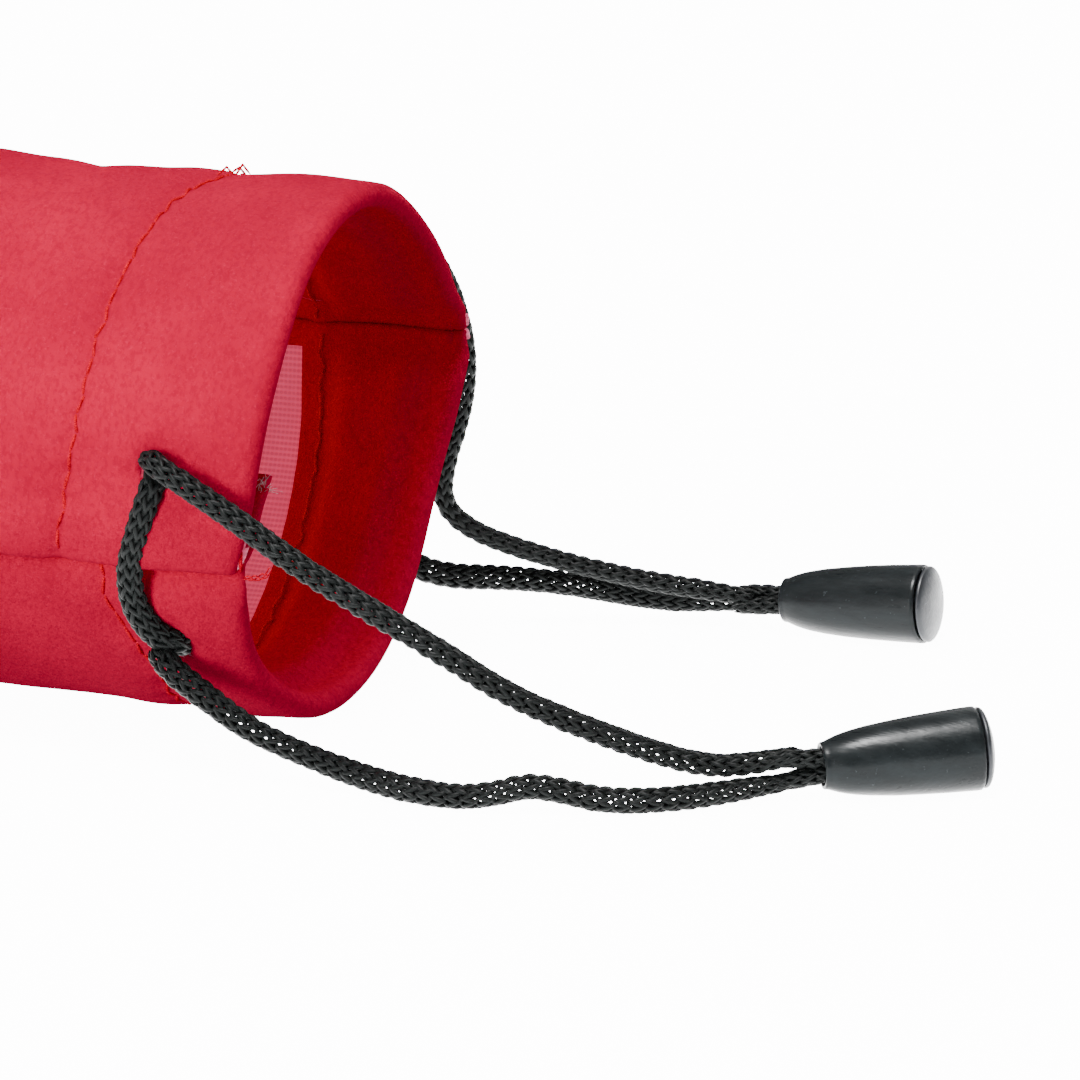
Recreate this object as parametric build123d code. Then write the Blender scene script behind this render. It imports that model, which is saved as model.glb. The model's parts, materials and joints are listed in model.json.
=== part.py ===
"""Soft drawstring storage bag with two cords and a bell-shaped cord end on each.

The bag lies on its side. X runs along it, with the closed end at -X and the open
mouth at +X. +Z is up, and the origin is the centre of the footprint of the bag.
Two cloth panels, upper and lower, meet in a seam along each side. Each panel has
its own turned hem at the mouth, and both cords run side by side in both hems: the
near cord has its free ends at the near seam, the far cord at the far seam.
"""
import math
import os

from build123d import *

# ---- the cloth, in millimetres -------------------------------------------------
LENGTH = 240.0
FLAT_WIDTH = 110.0
CLOTH = 0.6
MOUTH_RADIUS = FLAT_WIDTH / math.pi
AXIS_HEIGHT = MOUTH_RADIUS + 0.5
RIM_X = LENGTH / 2
HEM_DEPTH = 25.0
HEM_START = RIM_X - HEM_DEPTH
SEAM_ANGLE = -14.0
ALLOWANCE = 8.0
END_FOLD = 0.7
FOLD_LENGTH = 1.1
FOLD_INSIDE = MOUTH_RADIUS - 2.2
STITCHED_INSIDE = MOUTH_RADIUS - 1.6
RING_STEPS = 12

# ---- the cord channel inside each hem ------------------------------------------
CORD = 3.2
NEAR_CORD_X = RIM_X - 12.0
FAR_CORD_X = NEAR_CORD_X - 3.7
CHANNEL_OUTSIDE = MOUTH_RADIUS - CLOTH
CHANNEL_INSIDE = CHANNEL_OUTSIDE - CORD - 0.6
CHANNEL_CENTRE = (CHANNEL_INSIDE + CHANNEL_OUTSIDE) / 2 + 0.5
CHANNEL_RUNS = 7
CHANNEL_PAST_HOLE = 8.0
BRIDGE_CENTRE = MOUTH_RADIUS + CORD / 2 + 0.9
HOLE_FROM_SEAM = 24.0
HOLE_LENGTH = 9.6
HOLE_WIDTH = 8.2
HOLE_DEPTH = 3.0
CROSSING_HALF = 6.5
CROSSING_INSIDE = CHANNEL_CENTRE - 0.7
STRAND_START = 0.25

# ---- stitching -----------------------------------------------------------------
THREAD = 0.32
STITCH = 2.1
STITCH_PITCH = 2.8
SEAM_LINE = 1.6
HEM_LINE = HEM_START + 1.6
THREAD_GAP = 0.08
SEAM_THREAD_RISE = CLOTH + THREAD + 0.7

# ---- the bell-shaped cord ends -------------------------------------------------
BELL_LENGTH = 20.2
BELL_NECK = 3.2
BELL_MOUTH = 5.35
NECK_BORE = 2.5
BELL_BORE = 4.55
CAP_GAP = 0.3
CAP_FLANGE = 0.8
CAP_DOME = 1.3
CAP_PLUG = 3.0
PAIR_RADIUS = 2.2
PAIR_OUT = 5.0
PAIR_RUN = 4.0
KNOT_RADIUS = 3.2
KNOT_START = 6.6
KNOT_LENGTH = 7.0
PAIR_GAP = 0.05
BELL_TILT = 3.84
BELLS = {
    "near": {"neck": Vector(190.9, -14.2, 4.1), "heading": 33.2},
    "far": {"neck": Vector(156.4, 62.1, 4.1), "heading": 1.4},
}

# ---- body of the bag: x, half height, height of the middle, seam angle ----------
STATIONS = (
    (HEM_START + 1.0, MOUTH_RADIUS - 0.25, AXIS_HEIGHT, -14.0),
    (78.0, 35.5, 35.7, -14.0),
    (48.0, 35.3, 35.4, -12.5),
    (8.0, 32.5, 32.5, -9.5),
    (-36.0, 25.5, 25.5, -5.5),
    (-76.0, 16.0, 16.0, -2.0),
    (-105.0, 6.5, 6.5, -0.5),
    (-RIM_X, 1.9, 1.9, 0.0),
)

# ---- free cord, from the hole in the hem to the pair of cords at the bell -------
NEAR_UPPER_ROUTE = (
    (113.6, -39.2, 36.6),
    (121.5, -39.6, 34.1),
    (130.5, -39.0, 29.3),
    (140.0, -37.5, 23.7),
    (149.5, -34.8, 18.3),
    (157.2, -31.0, 12.7),
    (164.5, -26.4, 8.2),
    (171.5, -22.6, 5.6),
    (177.6, -20.4, 4.9),
)
NEAR_LOWER_ROUTE = (
    (113.4, -34.0, 6.0),
    (120.5, -35.4, 3.4),
    (128.0, -33.6, 1.8),
    (137.0, -35.4, 1.7),
    (146.0, -37.5, 1.7),
    (153.5, -37.2, 2.1),
    (159.5, -36.0, 3.6),
    (165.0, -33.4, 2.4),
    (171.5, -29.4, 1.7),
    (177.5, -24.4, 1.7),
)
FAR_UPPER_ROUTE = (
    (105.6, 36.4, 55.2),
    (111.0, 39.4, 52.4),
    (116.8, 40.8, 46.2),
    (119.0, 41.4, 38.0),
    (117.8, 42.2, 29.8),
    (115.0, 42.6, 22.0),
    (116.4, 43.4, 15.2),
    (122.2, 45.8, 12.0),
    (129.0, 49.4, 9.4),
    (135.4, 53.4, 7.4),
    (141.2, 58.2, 6.0),
)
FAR_LOWER_ROUTE = (
    (101.4, 39.6, 31.8),
    (100.6, 40.8, 25.2),
    (102.8, 41.8, 17.8),
    (107.2, 43.2, 11.8),
    (112.6, 45.8, 8.4),
    (118.8, 49.4, 6.6),
    (125.6, 53.2, 5.0),
    (132.6, 56.8, 3.4),
    (139.6, 60.2, 2.2),
)


# ---- places round the mouth ----------------------------------------------------
def outward(angle):
    """Unit vector away from the axis, at an angle up from the near side."""
    turn = math.radians(angle)
    return Vector(0, -math.cos(turn), math.sin(turn))


def round_mouth(x, radius, angle):
    return Vector(x, 0, AXIS_HEIGHT) + outward(angle) * radius


def half_width(half_height):
    """Half width of an ellipse whose way round is twice the flat width."""
    low, high = half_height * 0.2, FLAT_WIDTH
    for _ in range(50):
        middle = (low + high) / 2
        ratio = ((middle - half_height) / (middle + half_height)) ** 2
        around = math.pi * (middle + half_height) * (1 + 3 * ratio / (10 + math.sqrt(4 - 3 * ratio)))
        low, high = (middle, high) if around < 2 * FLAT_WIDTH else (low, middle)
    return low


def on_body(station, angle, inset=0.0):
    """Point of the cloth at a station of the body, inset from its outside."""
    x, half_height, middle, seam = station
    turn = math.radians(angle + seam)
    wide = half_width(half_height) - inset
    return Vector(x, -wide * math.cos(turn), middle + (half_height - inset) * math.sin(turn))


def seam_place(x, side):
    """Station between the listed ones, and its point on the near or far seam."""
    right, left = next(
        (a, b) for a, b in zip(STATIONS, STATIONS[1:]) if b[0] <= x <= a[0]
    )
    share = (x - left[0]) / (right[0] - left[0])
    station = tuple(low + (high - low) * share for low, high in zip(left, right))
    return station, on_body(station, side)


# ---- cloth panels --------------------------------------------------------------
def half_ring(station, start, outer_inset, inner_inset):
    """Flat face of one panel's half of the cloth's ring at a station."""
    angles = [start + 180 * step / RING_STEPS for step in range(RING_STEPS + 1)]
    outer = Spline(*[on_body(station, angle, outer_inset) for angle in angles])
    inner = Spline(*[on_body(station, angle, inner_inset) for angle in angles])
    ends = [Line(outer @ 0, inner @ 0), Line(outer @ 1, inner @ 1)]
    return Face(Wire([outer, ends[1], inner, ends[0]]))


def body_panel(start):
    return loft([half_ring(station, start, 0.0, CLOTH) for station in STATIONS])


def end_fold(start):
    """Cloth turned in at the closed end, seen from the end as half an ellipse."""
    angles = [start + 180 * step / RING_STEPS for step in range(RING_STEPS + 1)]
    curve = Spline(*[on_body(STATIONS[-1], angle) for angle in angles])
    face = Face(Wire([curve, Line(curve @ 1, curve @ 0)]))
    return extrude(face, amount=END_FOLD, dir=(1, 0, 0))


def end_allowance(lift):
    """Raw edge of a panel beyond the end seam, lying inside the bag."""
    width = 2 * half_width(STATIONS[-1][1]) - 4 * ALLOWANCE
    centre = (-RIM_X + ALLOWANCE / 2, 0, STATIONS[-1][2] + lift * CLOTH / 2)
    return Pos(*centre) * Box(ALLOWANCE, width, CLOTH)


def side_allowance(side, lift):
    """Raw edge of a panel beyond a side seam, standing inwards from the seam."""
    faces = []
    for station in STATIONS[:-2]:
        root = on_body(station, side, CLOTH * 0.6)
        inward = (Vector(station[0], 0, station[2]) - root).normalized()
        across = Vector(1, 0, 0).cross(inward) * (-lift if side else lift) * CLOTH
        tip = root + inward * ALLOWANCE
        faces.append(Face(Wire(Polyline(root, tip, tip + across, root + across, close=True).edges())))
    return loft(faces)


def revolved(outline, start, sweep):
    """Turn an outline of (x, radius) points round the mouth, upwards from start."""
    plane = Plane(origin=(0, 0, AXIS_HEIGHT), x_dir=(1, 0, 0), z_dir=Vector(1, 0, 0).cross(outward(start)))
    face = plane * make_face(outline)
    return revolve(face, Axis((0, 0, AXIS_HEIGHT), (-1, 0, 0)), revolution_arc=sweep)


def hem_outline():
    """Two plies joined at the stitching, apart at the channel and folded at the rim."""
    inner_ply = CHANNEL_INSIDE - CLOTH
    fold_x = RIM_X - FOLD_LENGTH
    fold = ThreePointArc(
        (fold_x, MOUTH_RADIUS), (RIM_X, (MOUTH_RADIUS + FOLD_INSIDE) / 2), (fold_x, FOLD_INSIDE)
    )
    path = Polyline(
        (fold_x, FOLD_INSIDE),
        (RIM_X - 7.6, FOLD_INSIDE - 0.1),
        (RIM_X - 9.2, inner_ply),
        (HEM_START + 6.2, inner_ply),
        (HEM_START + 3.4, STITCHED_INSIDE - 0.1),
        (HEM_START, STITCHED_INSIDE),
        (HEM_START, MOUTH_RADIUS),
        (fold_x, MOUTH_RADIUS),
    )
    return fold.edges() + path.edges()


def channel_outline():
    return Polyline(
        (HEM_START + 6.8, CHANNEL_INSIDE),
        (RIM_X - 9.7, CHANNEL_INSIDE),
        (RIM_X - 8.4, CHANNEL_INSIDE + 2.2),
        (RIM_X - 8.4, CHANNEL_OUTSIDE),
        (HEM_START + 5.2, CHANNEL_OUTSIDE),
        (HEM_START + 5.2, CHANNEL_INSIDE + 1.8),
        close=True,
    ).edges()


def hem_allowance(side, lift):
    """Both plies of the hem beyond the side seam, standing inwards."""
    angle = SEAM_ANGLE + side
    depth = ALLOWANCE + 1.0
    place = Plane(
        origin=round_mouth((HEM_START + RIM_X) / 2, MOUTH_RADIUS - 1.4 - depth / 2, angle),
        x_dir=(1, 0, 0),
        z_dir=outward(angle),
    )
    rise = lift if side == 0 else -lift
    return place * (Pos(0, rise * CLOTH, 0) * Box(HEM_DEPTH - 1.6, 2 * CLOTH, depth))


def cord_hole(angle):
    """Slot through the outer ply, wide enough for the two cords side by side."""
    place = Plane(
        origin=round_mouth((NEAR_CORD_X + FAR_CORD_X) / 2, MOUTH_RADIUS, angle),
        x_dir=(1, 0, 0),
        z_dir=outward(angle),
    )
    return place * Box(HOLE_WIDTH, HOLE_LENGTH, HOLE_DEPTH)


def panel(start, lift):
    """One panel: 0 starts the upper one at the near seam, 180 the lower at the far."""
    first = SEAM_ANGLE + start
    holes = (first + HOLE_FROM_SEAM, first + 180 - HOLE_FROM_SEAM)
    channel_sweep = 180 - 2 * HOLE_FROM_SEAM + 2 * CHANNEL_PAST_HOLE
    hem = revolved(hem_outline(), first, 180)
    hem -= revolved(channel_outline(), holes[0] - CHANNEL_PAST_HOLE, channel_sweep)
    for hole in holes:
        hem -= cord_hole(hole)
    cloth = hem + body_panel(start) + end_fold(start) + end_allowance(lift)
    for side in (0, 180):
        cloth += side_allowance(side, lift)
        cloth += hem_allowance(side, lift)
    return cloth


# ---- stitching -----------------------------------------------------------------
def stitch(middle, along):
    """One stitch: a short straight length of thread."""
    start = middle - along * (STITCH / 2)
    return Solid.make_cylinder(THREAD / 2, STITCH, Plane(origin=start, z_dir=along))


def hem_stitches(start, radius, x):
    """A row of stitches round one panel's hem."""
    count = int(math.radians(180) * radius / STITCH_PITCH) - 1
    first = SEAM_ANGLE + start
    step = 180 / (count + 1)
    row = []
    for index in range(count):
        angle = first + step * (index + 1)
        row.append(stitch(round_mouth(x, radius, angle), outward(angle + 90)))
    return Compound(children=row)


def side_stitches(side):
    """A row of stitches inside the bag, on the raw edges above a side seam."""
    row = []
    first, last = HEM_START - 6.0, STATIONS[-3][0] + 4.0
    for index in range(int((first - last) / STITCH_PITCH)):
        x = first - index * STITCH_PITCH
        station, seam = seam_place(x, side)
        inward = (Vector(x, 0, station[2]) - seam).normalized()
        upwards = Vector(1, 0, 0).cross(inward) * (1 if side == 0 else -1)
        middle = seam + inward * (CLOTH + SEAM_LINE) + upwards * SEAM_THREAD_RISE
        row.append(stitch(middle, Vector(1, 0, 0)))
    return Compound(children=row)


def end_stitches():
    """A row of stitches across the raw edges of the end seam, inside the bag."""
    width = 2 * half_width(STATIONS[-1][1]) - 4 * ALLOWANCE - 4.0
    count = int(width / STITCH_PITCH)
    height = STATIONS[-1][2] + CLOTH + THREAD / 2 + 0.03
    row = []
    for index in range(count):
        y = (index - (count - 1) / 2) * STITCH_PITCH
        row.append(stitch(Vector(-RIM_X + ALLOWANCE - 2.0, y, height), Vector(0, 1, 0)))
    return Compound(children=row)


# ---- cords ---------------------------------------------------------------------
def cord_tube(name, points, radius=CORD / 2):
    """Straight runs joined by tangent arcs, each as large as its two runs allow."""
    points = [Vector(*point) if isinstance(point, tuple) else point for point in points]
    runs = [after - before for before, after in zip(points, points[1:])]
    radii = []
    for before, after in zip(runs, runs[1:]):
        half_turn = math.radians(before.get_angle(after)) / 2
        radii.append(0.45 * min(before.length, after.length) / math.tan(half_turn))
    path = FilletPolyline(*points, radius=radii)
    tube = sweep(Plane(origin=path @ 0, z_dir=path % 0) * Circle(radius), path=path)
    share = tube.volume / (math.pi * radius ** 2 * path.length)
    shown = " ".join(f"{value:.0f}" for value in radii)
    print(f"{name}: length {path.length:.1f}, volume share {share:.4f}, radii {shown}")
    return tube


def channel_run(x, first, last):
    """Points inside one hem's channel, between its two holes."""
    enter, leave = first + CROSSING_HALF, last - CROSSING_HALF
    points = [round_mouth(x, CROSSING_INSIDE, enter)]
    for index in range(1, CHANNEL_RUNS):
        angle = enter + (leave - enter) * index / CHANNEL_RUNS
        points.append(round_mouth(x, CHANNEL_CENTRE, angle))
    points.append(round_mouth(x, CROSSING_INSIDE, leave))
    return points


def loop_points(x, start):
    """A cord's way round the mouth between its two free ends, whose holes it starts
    and ends in. The first and last points are outside the bag."""
    first = start + HOLE_FROM_SEAM
    last = start + 180 - HOLE_FROM_SEAM
    bridge = (last + CROSSING_HALF, start + 180, first + 180 - CROSSING_HALF)
    return [
        round_mouth(x, BRIDGE_CENTRE, first - CROSSING_HALF),
        *channel_run(x, first, last),
        *[round_mouth(x, BRIDGE_CENTRE, angle) for angle in bridge],
        *channel_run(x, first + 180, last + 180),
        round_mouth(x, BRIDGE_CENTRE, last + 180 + CROSSING_HALF),
    ]


def bell_plane(side):
    """Plane at a bell's neck: z runs along the bell towards its wide end."""
    heading = math.radians(BELLS[side]["heading"])
    tilt = math.radians(BELL_TILT)
    along = Vector(math.cos(heading) * math.cos(tilt), math.sin(heading) * math.cos(tilt), math.sin(tilt))
    return Plane(origin=BELLS[side]["neck"], x_dir=Vector(-along.Y, along.X, 0), z_dir=along)


def free_strand(name, side, in_hole, outside, route, above):
    """A free length of cord that ends beside its partner, in front of the bell."""
    plane = bell_plane(side)
    beside = plane.z_dir.cross(plane.x_dir) * (above * (CORD / 2 + PAIR_GAP))
    end = plane.origin - plane.z_dir * PAIR_OUT + beside
    return cord_tube(name, [in_hole, outside, *route, end - plane.z_dir * PAIR_RUN, end])


def knot(side):
    """The two cords squeezed side by side through the neck, and their knot."""
    plane = bell_plane(side)
    pair = Cylinder(PAIR_RADIUS, PAIR_OUT + KNOT_START + 1.5, align=(Align.CENTER, Align.CENTER, Align.MIN))
    pair = Pos(0, 0, -PAIR_OUT) * pair
    lump = Ellipse(KNOT_RADIUS, KNOT_LENGTH / 2)
    half = lump & Pos(KNOT_RADIUS, 0) * Rectangle(2 * KNOT_RADIUS, KNOT_LENGTH + 1)
    turned = revolve(Plane.XZ * half, Axis.Z)
    return plane * (pair + Pos(0, 0, KNOT_START + KNOT_LENGTH / 2) * turned)


# ---- bells ---------------------------------------------------------------------
def bell_shell(side):
    """Hollow moulded bell, with a narrow lipped neck and an open wide end."""
    outside = Spline(
        (BELL_NECK, 0), (3.95, 2.4), (4.5, 7.0), (5.0, 13.0), (BELL_MOUTH, BELL_LENGTH)
    )
    inside = Polyline(
        (BELL_MOUTH, BELL_LENGTH), (BELL_BORE, BELL_LENGTH), (BELL_BORE, 13.0), (3.75, 6.8),
        (NECK_BORE, 2.6), (NECK_BORE, 0), (BELL_NECK, 0)
    )
    wall = Plane.XZ * make_face(outside.edges() + inside.edges())
    return bell_plane(side) * revolve(wall, Axis.Z)


def bell_cap(side):
    """Domed plug that closes the wide end and presses into its bore."""
    flange = BELL_LENGTH + CAP_GAP
    rim = flange + CAP_FLANGE
    edge_radius = BELL_MOUTH - 0.05
    plug_radius = BELL_BORE - 0.05
    dome_radius = (edge_radius ** 2 + CAP_DOME ** 2) / (2 * CAP_DOME)
    dome_half = math.asin(edge_radius / dome_radius) / 2
    dome_middle = rim + CAP_DOME - dome_radius * (1 - math.cos(dome_half))
    dome = ThreePointArc(
        (edge_radius, rim), (dome_radius * math.sin(dome_half), dome_middle), (0, rim + CAP_DOME)
    )
    edge = Polyline(
        (0, rim + CAP_DOME), (0, flange - CAP_PLUG), (plug_radius - 0.3, flange - CAP_PLUG),
        (plug_radius, flange - CAP_PLUG + 0.6), (plug_radius, flange),
        (edge_radius, flange), (edge_radius, rim)
    )
    profile = Plane.XZ * make_face(dome.edges() + edge.edges())
    return bell_plane(side) * revolve(profile, Axis.Z)


# ---- everything ----------------------------------------------------------------
ROUTES = {
    "near": (NEAR_UPPER_ROUTE, NEAR_LOWER_ROUTE),
    "far": (FAR_UPPER_ROUTE, FAR_LOWER_ROUTE),
}


def cord_nodes(side, x, start):
    """The four pieces of one cord: its loop through the hems, two strands, the knot."""
    points = loop_points(x, start)
    outside = [points[0], points[-1]]
    ends = [
        points[1] + (points[0] - points[1]) * STRAND_START,
        points[-2] + (points[-1] - points[-2]) * STRAND_START,
    ]
    first = 0 if side == "near" else 1
    nodes = {f"{side}_cord_loop": cord_tube(f"{side}_cord_loop", [ends[0], *points[1:-1], ends[1]])}
    for index, level in enumerate(("upper", "lower")):
        name = f"{side}_cord_{level}_strand"
        above = 1 if level == "upper" else -1
        which = (first + index) % 2
        nodes[name] = free_strand(name, side, ends[which], outside[which], ROUTES[side][index], above)
    nodes[f"{side}_cord_knot"] = knot(side)
    return nodes


def build():
    outside_thread = MOUTH_RADIUS + THREAD / 2 + THREAD_GAP
    inside_thread = STITCHED_INSIDE - THREAD / 2 - THREAD_GAP
    nodes = {
        "upper_panel": panel(0, 1),
        "lower_panel": panel(180, -1),
        "upper_hem_needle_thread": hem_stitches(0, outside_thread, HEM_LINE),
        "upper_hem_bobbin_thread": hem_stitches(0, inside_thread, HEM_LINE),
        "lower_hem_needle_thread": hem_stitches(180, outside_thread, HEM_LINE),
        "lower_hem_bobbin_thread": hem_stitches(180, inside_thread, HEM_LINE),
        "near_seam_thread": side_stitches(0),
        "far_seam_thread": side_stitches(180),
        "end_seam_thread": end_stitches(),
    }
    nodes.update(cord_nodes("near", NEAR_CORD_X, SEAM_ANGLE))
    nodes.update(cord_nodes("far", FAR_CORD_X, SEAM_ANGLE + 180))
    for side in BELLS:
        nodes[f"{side}_bell_shell"] = bell_shell(side)
        nodes[f"{side}_bell_cap"] = bell_cap(side)
    return nodes


os.makedirs("parts", exist_ok=True)
for node_name, solid in build().items():
    export_step(solid, f"parts/{node_name}.step")
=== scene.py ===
"""Looks of a soft drawstring bag: cloth panels, stitching, knitted cords, cord ends."""
import json
import math
import random

import bmesh
import bpy
import numpy as np
from bpy.props import FloatProperty, FloatVectorProperty, IntProperty, PointerProperty
from bpy.types import Operator, Panel, PropertyGroup
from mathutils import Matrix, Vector, noise


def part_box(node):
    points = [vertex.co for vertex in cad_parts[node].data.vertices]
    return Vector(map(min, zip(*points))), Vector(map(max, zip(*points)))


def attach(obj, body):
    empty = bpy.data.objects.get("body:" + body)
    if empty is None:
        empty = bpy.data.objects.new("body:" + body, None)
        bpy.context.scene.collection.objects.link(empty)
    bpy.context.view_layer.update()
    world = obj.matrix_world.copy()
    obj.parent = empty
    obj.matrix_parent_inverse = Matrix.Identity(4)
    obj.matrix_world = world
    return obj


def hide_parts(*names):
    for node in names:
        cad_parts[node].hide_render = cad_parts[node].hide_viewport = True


bl_info = {
    "name": "Soft Drawstring Bag",
    "version": (1, 0, 0),
    "blender": (4, 5, 0),
    "location": "3D View > Sidebar > Bag",
    "description": "Makes a cloth bag with knitted drawcords and bell-shaped cord ends",
    "category": "Add Mesh",
}

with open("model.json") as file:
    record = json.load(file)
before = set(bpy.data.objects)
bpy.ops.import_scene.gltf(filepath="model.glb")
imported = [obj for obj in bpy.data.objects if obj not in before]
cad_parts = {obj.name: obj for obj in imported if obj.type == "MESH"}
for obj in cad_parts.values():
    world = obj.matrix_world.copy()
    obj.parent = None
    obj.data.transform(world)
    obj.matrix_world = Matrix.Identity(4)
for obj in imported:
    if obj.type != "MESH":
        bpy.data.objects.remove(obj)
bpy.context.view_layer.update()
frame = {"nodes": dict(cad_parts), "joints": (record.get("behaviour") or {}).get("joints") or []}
MM = 0.001

# ---- places taken from the frame -------------------------------------------------
BAG_BODY = "bag"
RIM_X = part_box("upper_panel")[1][0]
END_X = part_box("upper_panel")[0][0]
AXIS_Z = (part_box("near_cord_loop")[0][2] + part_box("near_cord_loop")[1][2]) / 2
MOUTH_RADIUS = 35.0 * MM
HALF_ROUND = 110.0 * MM

# x, half height, height of the middle and seam angle of the bag's cross-sections
SECTIONS = (
    (-120.0, 1.9, 1.9, 0.0),
    (-105.0, 6.5, 6.5, -0.5),
    (-76.0, 16.0, 16.0, -2.0),
    (-36.0, 25.5, 25.5, -5.5),
    (8.0, 32.5, 32.5, -9.5),
    (48.0, 34.8, 34.9, -13.0),
    (78.0, 34.8, 35.1, -14.4),
    (98.0, 34.8, 35.2, -14.5),
    (126.0, 35.0, 35.5, -14.5),
)
# angle up from the near side, and how far the rim leans out there
RIM_LEAN = (
    (0, 1.0), (30, 2.8), (60, 2.4), (90, 1.6), (120, 0.4), (150, 1.1), (172, 1.1),
    (200, -1.7), (230, -2.0), (262, -1.6), (290, -1.0), (320, -2.4), (346, -0.4),
)
# angle and distance behind the rim of the hem stitching, for each panel
UPPER_STITCHES = (
    (-14, 25.4), (-2, 24.4), (14, 23.2), (31, 22.4), (54, 21.6), (75, 20.9), (92, 19.6),
    (115, 20.2), (140, 20.4), (166, 20.0),
)
LOWER_STITCHES = (
    (166, 19.8), (200, 19.4), (240, 19.4), (270, 18.8), (300, 17.6), (315, 16.4), (328, 18.6),
    (336, 20.4), (346, 20.8),
)
# x, angle, half width and half height of the four holes for the cords
HOLES = (
    (108.0, 6.2, 2.0, 2.3), (107.8, -35.6, 2.6, 2.6), (106.4, 142.5, 2.6, 3.4), (106.2, 189.5, 2.6, 3.4)
)


# ---- settings ---------------------------------------------------------------------
class ClothSettings(PropertyGroup):
    """Sizes and colours of the cloth and its thread."""

    thickness: FloatProperty(
        name="Cloth thickness", description="One ply of cloth", default=0.75 * MM, unit="LENGTH"
    )
    fold_radius: FloatProperty(
        name="Rim fold", description="Inside radius of the fold", default=0.95 * MM, unit="LENGTH"
    )
    allowance: FloatProperty(
        name="Seam allowance", description="Raw edge past the seams", default=11.0 * MM, unit="LENGTH"
    )
    wrinkle: FloatProperty(
        name="Wrinkles", description="Height of the wrinkles", default=0.65 * MM, unit="LENGTH"
    )
    thread: FloatProperty(
        name="Thread", description="Diameter of the sewing thread", default=0.40 * MM, unit="LENGTH"
    )
    face_colour: FloatVectorProperty(
        name="Face", description="Brushed face of the cloth", default=(0.60, 0.003, 0.042), subtype="COLOR"
    )
    back_colour: FloatVectorProperty(
        name="Wrong side", description="Woven wrong side", default=(0.76, 0.10, 0.21), subtype="COLOR"
    )
    fibre_colour: FloatVectorProperty(
        name="Fibres", description="Loose fibres at raw edges", default=(0.95, 0.60, 0.64), subtype="COLOR"
    )
    thread_colour: FloatVectorProperty(
        name="Thread colour", description="Sewing thread", default=(0.60, 0.0, 0.020), subtype="COLOR"
    )


class CordSettings(PropertyGroup):
    """Sizes and colour of the knitted cords."""

    diameter: FloatProperty(
        name="Cord", description="Diameter of the knitted cord", default=3.2 * MM, unit="LENGTH"
    )
    course: FloatProperty(
        name="Stitch length", description="Length of one knitted stitch", default=1.95 * MM, unit="LENGTH"
    )
    wales: IntProperty(name="Rows of stitches", description="Rows round the cord", default=7, min=4)
    colour: FloatVectorProperty(
        name="Yarn", description="Colour of the yarn", default=(0.0034, 0.0042, 0.0040), subtype="COLOR"
    )


class EndSettings(PropertyGroup):
    """Colours of the moulded cord ends."""

    shell_colour: FloatVectorProperty(
        name="Shell", description="Moulded shell", default=(0.012, 0.015, 0.016), subtype="COLOR"
    )
    cap_colour: FloatVectorProperty(
        name="Cap", description="Domed cap", default=(0.014, 0.016, 0.020), subtype="COLOR"
    )


class StageSettings(PropertyGroup):
    """Camera, floor and lights."""

    azimuth: FloatProperty(
        name="Azimuth", description="Way round the bag", default=math.radians(23.0), subtype="ANGLE"
    )
    elevation: FloatProperty(
        name="Elevation", description="Above the horizon", default=math.radians(14.0), subtype="ANGLE"
    )
    distance: FloatProperty(
        name="Distance", description="Camera to the bag's mouth", default=1.0, unit="LENGTH"
    )
    lens: FloatProperty(name="Lens", description="Focal length in millimetres", default=256.4)
    floor_colour: FloatVectorProperty(
        name="Floor", description="Paper under the bag", default=(0.93, 0.93, 0.93), subtype="COLOR"
    )


# ---- numbers along and round the bag ------------------------------------------------
def smooth_through(knots, values, x):
    """Cubic curve through values at rising knots."""
    knots, values = np.asarray(knots, float), np.asarray(values, float)
    slopes = np.gradient(values, knots)
    index = np.clip(np.searchsorted(knots, x) - 1, 0, len(knots) - 2)
    span = knots[index + 1] - knots[index]
    t = np.clip((x - knots[index]) / span, 0, 1)
    low, high = values[index], values[index + 1]
    bend = slopes[index] * span * (t - 2 * t**2 + t**3) + slopes[index + 1] * span * (t**3 - t**2)
    return low + (high - low) * (3 * t**2 - 2 * t**3) + bend


def smooth_step(low, high, x):
    t = np.clip((x - low) / (high - low), 0, 1)
    return t * t * (3 - 2 * t)


def bump(x, centre, width):
    return np.exp(-(((x - centre) / width) ** 2))


def half_width(half_height):
    """Half width of an ellipse whose way round is two panels."""
    low, high = half_height * 0.2, HALF_ROUND
    for _ in range(40):
        middle = (low + high) / 2
        ratio = ((middle - half_height) / (middle + half_height)) ** 2
        around = math.pi * (middle + half_height) * (1 + 3 * ratio / (10 + math.sqrt(4 - 3 * ratio)))
        low, high = (middle, high) if around < 2 * HALF_ROUND else (low, middle)
    return low


SECTION_X = np.array([row[0] for row in SECTIONS]) * MM
SECTION_HEIGHT = np.array([row[1] for row in SECTIONS]) * MM
SECTION_MIDDLE = np.array([row[2] for row in SECTIONS]) * MM
SECTION_SEAM = np.array([row[3] for row in SECTIONS])
SECTION_WIDTH = np.array([half_width(height) for height in SECTION_HEIGHT])


def seam_angle(x):
    return smooth_through(SECTION_X, SECTION_SEAM, x)


def rim_lean(angle):
    """How far the rim stands out at an angle, right round the mouth."""
    angles = [row[0] for row in RIM_LEAN]
    leans = [row[1] * MM for row in RIM_LEAN]
    angles = [angles[-1] - 360, *angles, angles[0] + 360]
    leans = [leans[-1], *leans, leans[0]]
    return smooth_through(angles, leans, np.mod(angle, 360.0))


def turned(difference):
    """An angle difference brought between -180 and 180."""
    return np.mod(difference + 180.0, 360.0) - 180.0


def fields(points, scale, seed):
    """Smooth noise from -1 to 1 at each point."""
    shift = Vector((seed * 7.31, seed * 3.17, seed * 5.77))
    return np.array([noise.noise(Vector(point) * scale + shift) for point in points])


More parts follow.
